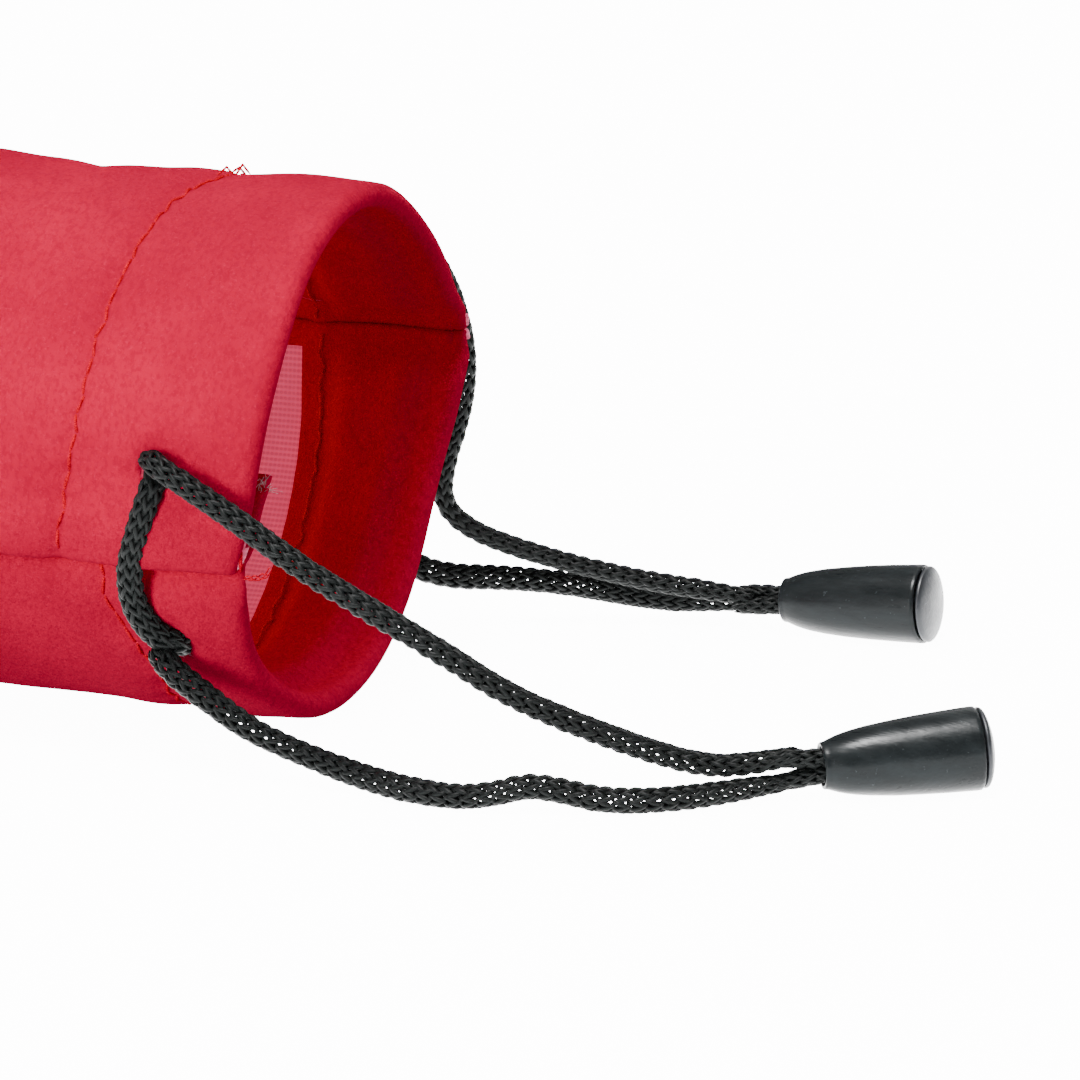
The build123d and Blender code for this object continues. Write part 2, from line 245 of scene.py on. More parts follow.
def plain_surface(x, angle):
    """Outside of the bag before wrinkles: smooth, with the mouth's own irregular round."""
    turn = np.radians(angle)
    mouth = smooth_step(60 * MM, 118 * MM, x)
    corner = bump(turned(angle - 166), 0, 9) * 1.3 * MM
    flat = bump(turned(angle - 208), 0, 26) * -1.0 * MM
    near = bump(turned(angle - 20), 0, 30) * 0.3 * MM
    foot = bump(turned(angle - 302), 0, 20) * 0.8 * MM
    grow = mouth * (corner + flat + near + foot)
    wide = smooth_through(SECTION_X, SECTION_WIDTH, x) + grow
    tall = smooth_through(SECTION_X, SECTION_HEIGHT, x) + grow
    middle = smooth_through(SECTION_X, SECTION_MIDDLE, x)
    lean = rim_lean(angle) * smooth_step(98 * MM, 121 * MM, x)
    return np.stack([x + lean, -wide * np.cos(turn), middle + tall * np.sin(turn)], axis=-1)


def outward_of(surface, x, angle):
    """Outward unit normals of a surface function."""
    along = surface(x + 0.2 * MM, angle) - surface(x - 0.2 * MM, angle)
    around = surface(x, angle + 0.3) - surface(x, angle - 0.3)
    normal = np.cross(along, around)
    return normal / np.linalg.norm(normal, axis=-1, keepdims=True)


def stitch_depth(angle, upper):
    """Distance from the rim's plane back to the hem's stitching."""
    table = UPPER_STITCHES if upper else LOWER_STITCHES
    start = -14 if upper else 166
    measured = np.mod(angle - start + 1e-6, 360.0) + start
    return smooth_through([row[0] for row in table], [row[1] * MM for row in table], measured)


def relief(x, angle, upper):
    """How far the cloth stands out from the plain surface: puffs, puckers and wrinkles."""
    base = plain_surface(x, angle)
    behind = RIM_X - x
    stitched = stitch_depth(angle, upper)
    from_seam = turned(angle - seam_angle(x))
    far_seam = np.abs(turned(from_seam - 180))
    near_seam = np.abs(from_seam)
    arc = np.radians(near_seam) * MOUTH_RADIUS
    far_arc = np.radians(far_seam) * MOUTH_RADIUS
    front = smooth_step(-60 * MM, 40 * MM, x)

    groove = -0.55 * MM * bump(behind, stitched, 1.3 * MM)
    shoulder = 0.35 * MM * bump(behind, stitched + 5 * MM, 3.5 * MM)
    channel = 0.45 * MM * bump(behind, stitched * 0.52, 5.0 * MM)
    around = np.radians(angle) * MOUTH_RADIUS
    pucker_wave = np.sin(around / (0.78 * MM) + 3 * np.sin(np.radians(angle) * 5))
    pucker = 0.16 * MM * pucker_wave * bump(behind, stitched, 2.6 * MM)

    own = 1.0 if upper else -1.0
    step = 1.35 * MM if upper else 2.3 * MM
    lap = own * step * np.exp(-((arc / (5.0 * MM)) ** 1.6)) * front
    far_lap = own * 0.25 * MM * np.exp(-far_arc / (5 * MM)) * front
    roll = 0.60 * MM * bump(arc, 4.2 * MM, 3.0 * MM) + 0.35 * MM * bump(far_arc, 3.5 * MM, 2.6 * MM)

    holes = np.zeros_like(x)
    for hole_x, hole_angle, wide, high in HOLES:
        dx = x - hole_x * MM
        dy = np.radians(turned(angle - hole_angle)) * MOUTH_RADIUS
        far = np.hypot(dx / (wide * MM), dy / (high * MM))
        spokes = 1 + 0.28 * np.cos(7 * np.arctan2(dy, dx) + hole_angle)
        holes += -1.0 * MM * np.exp(-((far / 1.25) ** 2)) + 0.42 * MM * spokes * bump(far, 2.3, 0.9)

    flat = base.reshape(-1, 3)
    broad = fields(flat * (1.0, 1.0, 1.0), 26.0, 1).reshape(x.shape)
    cross = fields(flat * (1.0, 0.45, 0.45), 75.0, 2).reshape(x.shape)
    small = fields(flat, 190.0, 3).reshape(x.shape)
    loose = smooth_step(24 * MM, 60 * MM, behind)
    wrinkles = bpy.context.scene.bag_cloth.wrinkle * (
        broad * (0.3 + 1.6 * loose) + cross * (0.22 + 0.75 * loose) + small * (0.10 + 0.14 * loose)
    )

    across = base[..., 1]
    gathers = np.cos(across / (4.6 * MM) + 2.2 * np.sin(across / (17 * MM)))
    gathers = gathers + 0.5 * np.cos(across / (2.3 * MM))
    end = 0.5 * MM * gathers * bump(x - END_X, 12 * MM, 15 * MM)
    top_crease = -0.5 * MM * bump(behind, 33 * MM + 6 * MM * np.sin(np.radians(angle)), 3.2 * MM)
    top_crease *= bump(turned(angle - 104), 0, 26)
    side_dent = -1.1 * MM * bump(behind, 40 * MM, 12 * MM) * bump(turned(angle - 40), 0, 22)
    under = bump(turned(angle - 270), 0, 40)
    loose_relief = wrinkles * (1 - 0.75 * under) + end + top_crease + side_dent
    return groove + shoulder + channel + pucker + lap + far_lap + roll + holes + loose_relief


def cloth_surface(x, angle, upper):
    """Points of the finished outside of the cloth, kept off the floor, and the normals."""
    x, angle = np.asarray(x, float), np.asarray(angle, float)
    normal = outward_of(plain_surface, x, angle)
    place = plain_surface(x, angle) + normal * relief(x, angle, upper)[..., None]
    place[..., 2] = np.maximum(place[..., 2], 0.05 * MM)
    return place, normal


# ---- meshes -----------------------------------------------------------------------
def new_piece(name, vertices, faces, smooth=True):
    mesh = bpy.data.meshes.new(name)
    mesh.from_pydata([tuple(vertex) for vertex in vertices], [], faces)
    mesh.validate()
    mesh.polygons.foreach_set("use_smooth", [smooth] * len(mesh.polygons))
    piece = bpy.data.objects.new(name, mesh)
    bpy.context.scene.collection.objects.link(piece)
    return piece


def grid_faces(rows, columns, first=0, close=False):
    """Quads of a grid of points, closed across its columns if asked."""
    quads = []
    for row in range(rows - 1):
        for column in range(columns if close else columns - 1):
            a = first + row * columns + column
            b = first + row * columns + (column + 1) % columns
            quads.append((a, b, b + columns, a + columns))
    return quads


def apply_modifiers(piece):
    """Turn a piece and its modifiers into one plain mesh."""
    evaluated = piece.evaluated_get(bpy.context.evaluated_depsgraph_get())
    mesh = bpy.data.meshes.new_from_object(evaluated)
    piece.modifiers.clear()
    piece.data = mesh


def sides_of(direction):
    """Two unit vectors square to a direction."""
    up = Vector((0, 0, 1)) if abs(direction.z) < 0.9 else Vector((1, 0, 0))
    side = direction.cross(up).normalized()
    return side, side.cross(direction).normalized()


class Shape:
    """Vertices and faces of a piece that is gathered from many small parts."""

    def __init__(self):
        self.vertices, self.faces = [], []

    def add_rings(self, rings, cap=True):
        """Skin a row of rings that have the same number of points."""
        first, count = len(self.vertices), len(rings[0])
        for ring in rings:
            self.vertices.extend(ring)
        self.faces.extend(grid_faces(len(rings), count, first, close=True))
        if cap:
            last = first + (len(rings) - 1) * count
            self.faces.append(tuple(first + index for index in reversed(range(count))))
            self.faces.append(tuple(last + index for index in range(count)))

    def add_strand(self, line, radius, sides=6):
        """A thread along a line that is pointed at both ends."""
        rings = []
        for index, point in enumerate(line):
            before, after = line[max(index - 1, 0)], line[min(index + 1, len(line) - 1)]
            side, lift = sides_of((after - before).normalized())
            narrow = 0.35 if index in (0, len(line) - 1) else 1.0
            rings.append([
                point + (side * math.cos(turn) + lift * math.sin(turn)) * (radius * narrow)
                for turn in (math.tau * step / sides for step in range(sides))
            ])
        self.add_rings(rings)

    def make(self, name):
        return new_piece(name, self.vertices, self.faces)


# ---- materials ----------------------------------------------------------------------
class Value:
    """A shader socket that takes part in Python sums."""

    def __init__(self, tree, socket):
        self.tree, self.socket = tree, socket

    def maths(self, operation, *values):
        return self.tree.node("ShaderNodeMath", {"operation": operation}, dict(enumerate(values))).value()

    def __add__(self, other):
        return self.maths("ADD", self, other)

    def __sub__(self, other):
        return self.maths("SUBTRACT", self, other)

    def __rsub__(self, other):
        return self.maths("SUBTRACT", other, self)

    def __mul__(self, other):
        return self.maths("MULTIPLY", self, other)

    __radd__ = __add__
    __rmul__ = __mul__

    def power(self, other):
        return self.maths("POWER", self, other)

    def sine(self):
        return self.maths("SINE", self)

    def size(self):
        return self.maths("ABSOLUTE", self)

    def between(self, low, high):
        """0 below low and 1 above high, smooth in between."""
        settings = {"interpolation_type": "SMOOTHSTEP"}
        inputs = {"Value": self, "From Min": low, "From Max": high}
        return self.tree.node("ShaderNodeMapRange", settings, inputs).value("Result")


class MadeNode:
    """One shader node, and its outputs as values."""

    def __init__(self, tree, made):
        self.tree, self.made = tree, made

    def value(self, name=0):
        return Value(self.tree, self.made.outputs[name])


class Finish:
    """A material with one Principled shader, and the nodes that feed it."""

    def __init__(self, name, **constants):
        self.material = bpy.data.materials.new(name)
        self.material.use_nodes = True
        self.nodes = self.material.node_tree.nodes
        self.links = self.material.node_tree.links
        self.shader = self.nodes["Principled BSDF"]
        for socket, value in constants.items():
            self.shader.inputs[socket.replace("_", " ")].default_value = value

    def node(self, kind, settings=None, inputs=None):
        made = self.nodes.new(kind)
        for name, value in (settings or {}).items():
            setattr(made, name, value)
        for name, value in (inputs or {}).items():
            self.connect(made.inputs[name], value)
        return MadeNode(self, made)

    def connect(self, socket, value):
        if isinstance(value, Value):
            self.links.new(value.socket, socket)
        elif socket.type == "RGBA":
            socket.default_value = (*value[:3], 1.0)
        else:
            socket.default_value = value

    def feed(self, name, value):
        self.connect(self.shader.inputs[name], value)

    def place(self):
        return self.node("ShaderNodeTexCoord").value("Object")

    def flat_place(self):
        """Place on the flat cloth, across and along, in metres."""
        return self.node("ShaderNodeAttribute", {"attribute_name": "flat_place"}).value("Vector")

    def noise(self, place, scale, detail=2.0, roughness=0.5):
        inputs = {"Vector": place, "Scale": scale, "Detail": detail, "Roughness": roughness}
        return self.node("ShaderNodeTexNoise", None, inputs).value("Fac")

    def stretched(self, place, scale):
        return self.node("ShaderNodeMapping", None, {"Vector": place, "Scale": scale}).value()

    def parts(self, place):
        split = self.node("ShaderNodeSeparateXYZ", None, {"Vector": place})
        return split.value("X"), split.value("Y"), split.value("Z")

    def blend(self, share, first, second, mode="MIX"):
        """Mix of two colours."""
        settings = {"data_type": "RGBA", "blend_type": mode}
        made = self.node("ShaderNodeMix", settings)
        self.connect(made.made.inputs["Factor"], share)
        colours = [socket for socket in made.made.inputs if socket.type == "RGBA"]
        self.connect(colours[0], first)
        self.connect(colours[1], second)
        result = [socket for socket in made.made.outputs if socket.type == "RGBA"]
        return Value(self, result[0])

    def bumped(self, height, strength, distance):
        """Normals from a height, with constant strength and distance."""
        inputs = {"Height": height, "Strength": strength, "Distance": distance}
        self.feed("Normal", self.node("ShaderNodeBump", None, inputs).value("Normal"))


def shade(colour, factor):
    return tuple(min(channel * factor, 1.0) for channel in colour)


def suede_finish(colour):
    """Brushed face: short nap, brushed marks, fine pale specks, and painted shade that darkens the hollows
    between the fibres.
    """
    finish = Finish(
        "brushed_cloth", Sheen_Weight=0.08, Sheen_Roughness=0.45, Specular_IOR_Level=0.0,
        Sheen_Tint=(1.0, 0.14, 0.26, 1.0),
    )
    place = finish.place()
    nap = finish.noise(place, 2300.0, 4.0, 0.7)
    fibres = finish.noise(finish.stretched(place, (1.0, 0.7, 0.7)), 1500.0, 4.0, 0.68)
    cloudy = finish.noise(place, 45.0, 3.0, 0.6)
    brushed = finish.noise(finish.stretched(place, (0.45, 1.0, 1.0)), 150.0, 4.0, 0.6)
    tone = finish.blend(cloudy.between(0.35, 0.68), shade(colour, 0.88), shade(colour, 1.10))
    tone = finish.blend(brushed.between(0.42, 0.66) * 0.16, tone, shade(colour, 1.26))
    # Painted shade: darker where the fibre noise, and so the bumped surface, is low, in the nap's hollows.
    tone = finish.blend(fibres.between(0.54, 0.40) * 0.34, tone, shade(colour, 0.60))
    tone = finish.blend(nap.between(0.54, 0.70) * 0.36, tone, (0.85, 0.02, 0.085))
    finish.feed("Base Color", tone)
    finish.feed("Roughness", nap * 0.16 + 0.78)
    finish.bumped(nap * 0.7 + fibres * 0.8, 1.0, 0.34 * MM)
    return finish.material


def woven_finish(colour):
    """Paler wrong side with a fine square weave, and a painted glow (emission) that stands in for the light
    that comes through it.
    """
    finish = Finish("woven_cloth_back", Sheen_Weight=0.2, Specular_IOR_Level=0.1, Emission_Strength=0.42)
    across, along, _ = finish.parts(finish.flat_place())
    weft = (across * (math.tau / (0.80 * MM))).sine() * 0.5 + 0.5
    warp = (along * (math.tau / (0.62 * MM))).sine() * 0.5 + 0.5
    weave = weft.power(2.0) * 0.75 + warp.power(2.0) * 0.35
    blotch = finish.noise(finish.place(), 180.0, 3.0, 0.6)
    tone = finish.blend(weave.between(0.05, 0.85), shade(colour, 0.82), shade(colour, 1.22))
    tone = finish.blend(blotch.between(0.40, 0.70) * 0.25, tone, shade(colour, 0.80))
    finish.feed("Base Color", tone)
    # Painted glow: the woven colour is also emitted, standing in for light that comes through the thin
    # cloth.
    finish.feed("Emission Color", tone)
    finish.feed("Roughness", blotch * 0.1 + 0.80)
    finish.bumped(weave, 0.5, 0.12 * MM)
    return finish.material


def raw_edge_finish(colour):
    """Cut edge of the cloth, with fine loose fibres."""
    finish = Finish("cloth_cut_edge", Specular_IOR_Level=0.1)
    fibres = finish.noise(finish.stretched(finish.place(), (1.0, 1.0, 4.0)), 1500.0, 3.0, 0.7)
    tone = finish.blend(fibres.between(0.3, 0.7), shade(colour, 0.7), shade(colour, 1.5))
    finish.feed("Base Color", tone)
    finish.feed("Roughness", fibres * 0.1 + 0.85)
    finish.bumped(fibres, 0.8, 0.1 * MM)
    return finish.material


def thread_finish(name, colour):
    """Twisted polyester thread."""
    finish = Finish(name, Specular_IOR_Level=0.0)
    twist = finish.noise(finish.stretched(finish.place(), (1.0, 2.2, 2.2)), 3800.0, 2.0, 0.6)
    tone = finish.blend(twist.between(0.35, 0.65), shade(colour, 0.62), shade(colour, 1.45))
    finish.feed("Base Color", tone)
    finish.feed("Roughness", twist * 0.2 + 0.42)
    finish.bumped(twist, 0.6, 0.06 * MM)
    return finish.material


def cord_finish(colour):
    """Black filament yarn: fine filaments with a soft shine."""
    finish = Finish("knitted_yarn", Specular_IOR_Level=0.05)
    place = finish.place()
    filaments = finish.noise(finish.stretched(place, (0.5, 1.6, 1.6)), 5200.0, 2.0, 0.6)
    worn = finish.noise(place, 420.0, 2.0, 0.5)
    tone = finish.blend(filaments.between(0.35, 0.7), shade(colour, 0.6), shade(colour, 2.4))
    finish.feed("Base Color", finish.blend(worn.between(0.5, 0.75) * 0.4, tone, shade(colour, 3.2)))
    finish.feed("Roughness", filaments * 0.25 + 0.38)
    finish.bumped(filaments, 0.55, 0.05 * MM)
    return finish.material


def moulded_finish(name, colour, gloss, shine):
    """Moulded plastic: satin skin, faint flow marks and fine scratches along it."""
    finish = Finish(name, Specular_IOR_Level=shine)
    place = finish.place()
    flow = finish.noise(finish.stretched(place, (0.22, 1.0, 1.0)), 420.0, 3.0, 0.6)
    fine = finish.noise(finish.stretched(place, (0.12, 1.0, 1.0)), 2600.0, 2.0, 0.6)
    dust = finish.noise(place, 1500.0, 2.0, 0.6)
    tone = finish.blend(flow.between(0.4, 0.7) * 0.6, colour, shade(colour, 1.7))
    tone = finish.blend(dust.between(0.66, 0.78) * 0.5, tone, shade(colour, 5.0))
    finish.feed("Base Color", tone)
    finish.feed("Roughness", flow * 0.26 + fine * 0.20 + gloss)
    finish.bumped(flow * 0.6 + fine * 0.5 + dust * 0.2, 0.42, 0.14 * MM)
    return finish.material


def paper_finish(colour):
    finish = Finish("floor_paper", Specular_IOR_Level=0.05, Emission_Strength=14.0)
    tooth = finish.noise(finish.place(), 300.0, 2.0, 0.5)
    paper = finish.blend(tooth, shade(colour, 0.995), colour)
    finish.feed("Base Color", paper)
    finish.feed("Emission Color", paper)
    finish.feed("Roughness", tooth * 0.05 + 0.85)
    return finish.material


def material(name, make, *values):
    """The named material, made the first time that a piece asks for it."""
    return bpy.data.materials.get(name) or make(*values)


# ---- cloth panels ---------------------------------------------------------------------
def panel_rows(cloth):
    """Rows of a panel: the outer ply from the closed end, the fold at the rim, the inner ply.

    Each row is the ply, its place along the bag and its place round the fold. The place
    along is x for the outer ply, and the share of the hem's depth for the inner one.
    """
    turn_x = RIM_X - cloth.fold_radius - cloth.thickness / 2
    outer = np.concatenate([
        np.arange(END_X + 0.6 * MM, 50 * MM, 2.4 * MM),
        np.arange(50 * MM, 90 * MM, 1.3 * MM),
        np.arange(90 * MM, turn_x, 0.8 * MM),
    ])
    rows = [("outer", x, 0.0) for x in outer]
    rows += [("fold", turn_x, math.pi * step / 10) for step in range(1, 10)]
    rows += [("inner", share, math.pi) for share in np.linspace(0, 1, 32)]
    return rows


def row_places(cloth, row, angles, upper):
    """x, depth under the outside, share of the relief and flat length, for one row."""
    ply, place, turn = row
    half = cloth.thickness / 2
    centre = cloth.fold_radius + half
    from_seam = angles - seam_angle(RIM_X)
    to_seam = np.minimum(np.abs(turned(from_seam)), np.abs(turned(from_seam - 180)))
    opened = smooth_step(0.5 * MM, 9 * MM, np.radians(to_seam) * MOUTH_RADIUS)
    between = cloth.thickness * 1.06 + (2 * centre - cloth.thickness * 1.06) * opened
    turn_x = RIM_X - centre
    full = np.ones_like(angles)
    if ply == "outer":
        return place * full, half * full, full, (place - END_X) * full
    if ply == "fold":
        depth = half + between / 2 * (1 - math.cos(turn))
        out = turn_x + np.minimum(centre, between) * math.sin(turn)
        return out, depth, 1 - 0.4 * full * turn / math.pi, (turn_x - END_X + centre * turn) * full
    hem = stitch_depth(angles, upper) + 3.2 * MM - centre
    back = place * hem
    behind = (back + centre) / (hem + centre)
    channel = 2.3 * MM * opened * smooth_step(0.14, 0.36, behind) * (1 - smooth_step(0.62, 0.86, behind))
    apart = 1 - smooth_step(0.60, 0.88, behind)
    depth = half + cloth.thickness * 1.06 + (between - cloth.thickness * 1.06) * apart + channel
    return turn_x - back, depth, 0.7 * full, turn_x - END_X + centre * math.pi + back


def side_edge(ply, near, own, size):
    """Raw edge beyond a side seam, as steps of (sideways, inward, flat length).

    At the near seam every ply stands inwards and leans up. At the far seam the edges
    lie flat between the plies of the hem, where they don't show.
    """
    corner = 0.5 * MM
    steps = [
        (-corner * math.sin(turn), corner * (1 - math.cos(turn)), corner * turn)
        for turn in (math.pi / 6, math.pi / 3, math.pi / 2)
    ]
    hidden = ply != "outer" and not near
    width = size * (1.0 if near else 0.35)
    lean = 60.0 if near else 88.0
    toward = own if near else 1.0
    inward = -1.0 if hidden else 1.0
    over, into = -corner, corner * inward
    if hidden:
        width = min(width, 1.6 * MM)
        steps = [(sideways, -depth, length) for sideways, depth, length in steps]
    count = 9
    for index in range(count):
        along = width * (index + 1) / count
        bend = math.radians(lean) * float(smooth_step(0.3 * MM, 4.0 * MM if near else 0.9 * MM, along))
        over += math.sin(bend) * toward * width / count
        into += math.cos(bend) * inward * width / count
        steps.append((over, into, along + corner * math.pi / 2))
    return steps


def panel_points(cloth, upper):
    """Grid of points through the middle of a panel's cloth, and their flat places."""
    own = 1.0 if upper else -1.0
    columns = np.linspace(0, 1, 121)
    grid, flat = [], []
    for row in panel_rows(cloth):
        ply, place, _ = row
        x = place if ply == "outer" else RIM_X
        seam = float(seam_angle(x))
        first = seam if upper else seam + 180
        size = max(float(np.interp(x, SECTION_X, SECTION_WIDTH)), MOUTH_RADIUS * 0.9)
        inset = math.degrees((cloth.thickness / 2 + 0.51 * MM) / size)
        angles = first + inset + (180 - 2 * inset) * columns
        xs, depth, share, along = row_places(cloth, row, angles, upper)
        normal = outward_of(plain_surface, xs, angles)
        main = plain_surface(xs, angles) + normal * (relief(xs, angles, upper) * share - depth)[:, None]
        wide = cloth.allowance * float(smooth_step(END_X + 22 * MM, END_X + 75 * MM, x))
        sides = []
        for end, at_start in ((0, True), (-1, False)):
            tangent = main[1] - main[0] if at_start else main[-2] - main[-1]
            tangent = tangent / np.linalg.norm(tangent)
            edge = side_edge(ply, at_start == upper, own, wide)
            points = [main[end] + tangent * over - normal[end] * into for over, into, _ in edge]
            sides.append((points, [far for _, _, far in edge]))
        (left, left_far), (right, right_far) = sides
        grid.append([*reversed(left), *main, *right])
        across = [
            *[-HALF_ROUND / 2 - far for far in reversed(left_far)],
            *((columns - 0.5) * HALF_ROUND),
            *[HALF_ROUND / 2 + far for far in right_far],
        ]
        ends = [along[0]] * len(left), [along[-1]] * len(right)
        flat.append([(wide, far, 0.0) for wide, far in zip(across, [*ends[0], *along, *ends[1]])])
    return np.array(grid), np.array(flat)


def keep_off_floor(points, cloth):
    """Cloth that rests on the floor flattens there."""
    lowest = cloth.thickness / 2 + 0.05 * MM
    points[..., 2] = np.maximum(points[..., 2], lowest)
    return points


def end_rows(points, cloth, upper):
    """Rows before the first: the raw edge inside the end seam, turned out into the bag."""
    first = points[0]
    middle = float(SECTION_MIDDLE[0])
    gap = (cloth.thickness / 2 + 0.06 * MM) * (1 if upper else -1)
    rows = []
    for inside, rise in ((7.0, 0.0), (4.5, 0.0), (2.2, 0.0), (0.9, 0.04), (0.25, 0.22), (0.02, 0.6)):
        row = first.copy()
        row[:, 0] = END_X + (inside + cloth.thickness / 2) * MM
        row[:, 1] = first[:, 1] * (1 - 0.02 * (1 - rise))
        row[:, 2] = middle + gap + (first[:, 2] - middle - gap) * rise
        rows.append(row)
    return np.array(rows)


def hole_distance(xs, angles):
    """Distance from the nearest hole's middle, where 1 is that hole's edge."""
    best = np.full(xs.shape, 99.0)
    for hole_x, hole_angle, wide, high in HOLES:
        dx = (xs - hole_x * MM) / (wide * MM)
        dy = np.radians(turned(angles - hole_angle)) * MOUTH_RADIUS / (high * MM)
        best = np.minimum(best, np.hypot(dx, dy))
    return best


def make_panel(name, upper):
    """One cloth panel, with its hem, raw edges and two holes."""
    cloth = bpy.context.scene.bag_cloth
    points, flat = panel_points(cloth, upper)
    start = end_rows(points, cloth, upper)
    start_flat = flat[:1].repeat(len(start), axis=0).copy()
    start_flat[..., 1] -= np.linspace(8 * MM, 1 * MM, len(start))[:, None]
    points = keep_off_floor(np.concatenate([start, points]), cloth)
    flat = np.concatenate([start_flat, flat])
    rows, columns = points.shape[:2]
    outer_rows = sum(1 for row in panel_rows(cloth) if row[0] == "outer") + len(start)
    flat_points = points.reshape(-1, 3)
    angles = np.degrees(np.arctan2(flat_points[:, 2] - AXIS_Z, -flat_points[:, 1]))
    away = hole_distance(flat_points[:, 0], angles)
    away[outer_rows * columns:] = 99.0
    quads = [
        quad for quad in grid_faces(rows, columns)
        if not all(away[index] < 1.12 for index in quad)
    ]
    quads = [tuple(reversed(quad)) for quad in quads]
    panel = new_piece(name, flat_points, quads)
    attribute = panel.data.attributes.new("flat_place", "FLOAT_VECTOR", "POINT")
    attribute.data.foreach_set("vector", flat.reshape(-1))
    for kind in (
        material("brushed_cloth", suede_finish, cloth.face_colour),
        material("woven_cloth_back", woven_finish, cloth.back_colour),
        material("cloth_cut_edge", raw_edge_finish, cloth.back_colour),
    ):
        panel.data.materials.append(kind)
    solid = panel.modifiers.new("ply", "SOLIDIFY")
    solid.thickness = cloth.thickness
    solid.offset = 0.0
    solid.material_offset = 1
    solid.material_offset_rim = 2
    solid.use_even_offset = False
    apply_modifiers(panel)
    drop_loose(panel)
    for face in panel.data.polygons:
        x, y, z = face.center
        inside = math.hypot(y, z - AXIS_Z) < MOUTH_RADIUS - 2.4 * MM
        if x > RIM_X - 5 * MM and inside:
            face.material_index = 0
    rim = slice(outer_rows - 2, outer_rows + 16)
    return panel, points[rim, 0], points[rim, 2]


def fray(name, edge, within):
    """Loose fibres along a raw edge, each one curling its own way."""
    chance = random.Random(5)
    shape = Shape()
    for root, inner in zip(edge, within):
        root = Vector(root)
        out = (root - Vector(inner)).normalized()
        for _ in range(3):
            way = Vector([chance.uniform(-1, 1) for _ in range(3)])
            size = chance.uniform(0.4, 1.5) * MM
            start = root + way * 0.25 * MM - out * 0.3 * MM
            curl = way.cross(out) * 0.5
            line = [
                start + (out * share + way * share**2 * 0.9 + curl * share**3) * size
                for share in (0, 0.25, 0.5, 0.75, 1)
            ]
            shape.add_strand(line, 0.028 * MM)
    return shape.make(name)


def drop_loose(piece):
    """Delete points that no face uses."""
    work = bmesh.new()
    work.from_mesh(piece.data)
    bmesh.ops.delete(work, geom=[vert for vert in work.verts if not vert.link_faces], context="VERTS")
    work.to_mesh(piece.data)
    work.free()
    piece.data.polygons.foreach_set("use_smooth", [True] * len(piece.data.polygons))


# ---- stitching ----------------------------------------------------------------------
def surface_point(x, angle, upper, above):
    place, normal = cloth_surface(np.array([x]), np.array([angle]), upper)
    return Vector(place[0]) + Vector(normal[0]) * above


def hem_thread(name, upper, inside):
    """A row of lockstitches round a hem, each one slanting and dipping at its ends."""
    cloth = bpy.context.scene.bag_cloth
    first = -14.0 if upper else 166.0
    pitch = math.degrees(2.5 * MM / MOUTH_RADIUS)
    radius = cloth.thread / 2
    shape = Shape()
    angle, index = first + 2.2, 0
    while angle + pitch < first + 178.5:
        slant = 0.22 * MM * (1 if index % 2 else -1) + 0.18 * MM * math.sin(index * 1.9)
        line = []
        for share in (0.0, 0.12, 0.35, 0.65, 0.88, 1.0):
            at = angle + pitch * share
            x = RIM_X - float(stitch_depth(at, upper)) + slant * (share - 0.5) * 2
            rise = radius * (1.15 - 3.2 * abs(share - 0.5) ** 2.2 * 2.2)
            if inside:
                rise = -2.35 * cloth.thickness - rise
            line.append(surface_point(x, at, upper, rise))
        shape.add_strand(line, radius)
        angle += pitch
        index += 1
    if upper and not inside:
        loose_threads(shape, radius)
    return shape.make(name)


def loose_threads(shape, radius):
    """Slack loops on top of the upper hem, and the cut end of the seam's thread at the rim."""
    for middle, back, high in ((96.0, 0.0, 1.3), (101.0, 0.9, 1.6), (105.0, -0.4, 1.1)):
        line = []
        for share in np.linspace(0, 1, 9):
            at = middle + 3.4 * (share - 0.5) + 1.2 * math.sin(share * math.tau)
            x = RIM_X - float(stitch_depth(at, True)) + (back + 1.6 * (share - 0.5)) * MM
            line.append(surface_point(x, at, True, high * MM * math.sin(math.pi * share)))
        shape.add_strand(line, radius * 0.8)
    corner = surface_point(RIM_X, float(seam_angle(RIM_X)) + 0.5, True, -0.6 * MM)
    dash = [
        corner + Vector((0.35, 0.5 + 0.2 * share, 0.2 + 3.4 * share)) * MM for share in np.linspace(0, 1, 5)
    ]
    shape.add_strand(dash, radius * 1.25)
    for turn in (0.0, 2.1, 4.2):
        tail = []
        for share in np.linspace(0, 1, 10):
            sway = 0.20 * MM * (1 + 1.5 * share)
            spin = turn + share * 9
            bend = Vector((0.5 + 3.9 * share, 1.0 + 0.3 * share, -0.6 + 0.1 * share + 1.5 * share**4)) * MM
            tail.append(corner + bend + Vector((0, math.cos(spin), math.sin(spin))) * sway)
        shape.add_strand(tail, radius * 0.5)


def seam_thread(name, far):
    """Stitches inside the bag, through the raw edges of a side seam."""
    cloth = bpy.context.scene.bag_cloth
    shape = Shape()
    pitch, radius = 2.6 * MM, cloth.thread / 2
    x = RIM_X - 27 * MM
    while x > END_X + 48 * MM:
        line = []
        for share in (0.0, 0.15, 0.5, 0.85, 1.0):
            at = x - pitch * 0.9 * share
            seam = float(seam_angle(at)) + (180.0 if far else 0.0)
            root = plain_surface(np.array([at]), np.array([seam]))[0]
            normal = Vector(outward_of(plain_surface, np.array([at]), np.array([seam]))[0])
            over = normal.cross(Vector((1, 0, 0))) * (1 if far else -1)
            dip = 0.5 * radius if share in (0.0, 1.0) else 0.0
            rise = cloth.thickness + 0.25 * MM + radius - dip
            line.append(Vector(root) - normal * 2.2 * MM - over * -rise)
        shape.add_strand(line, radius)
        x -= pitch
    return shape.make(name)


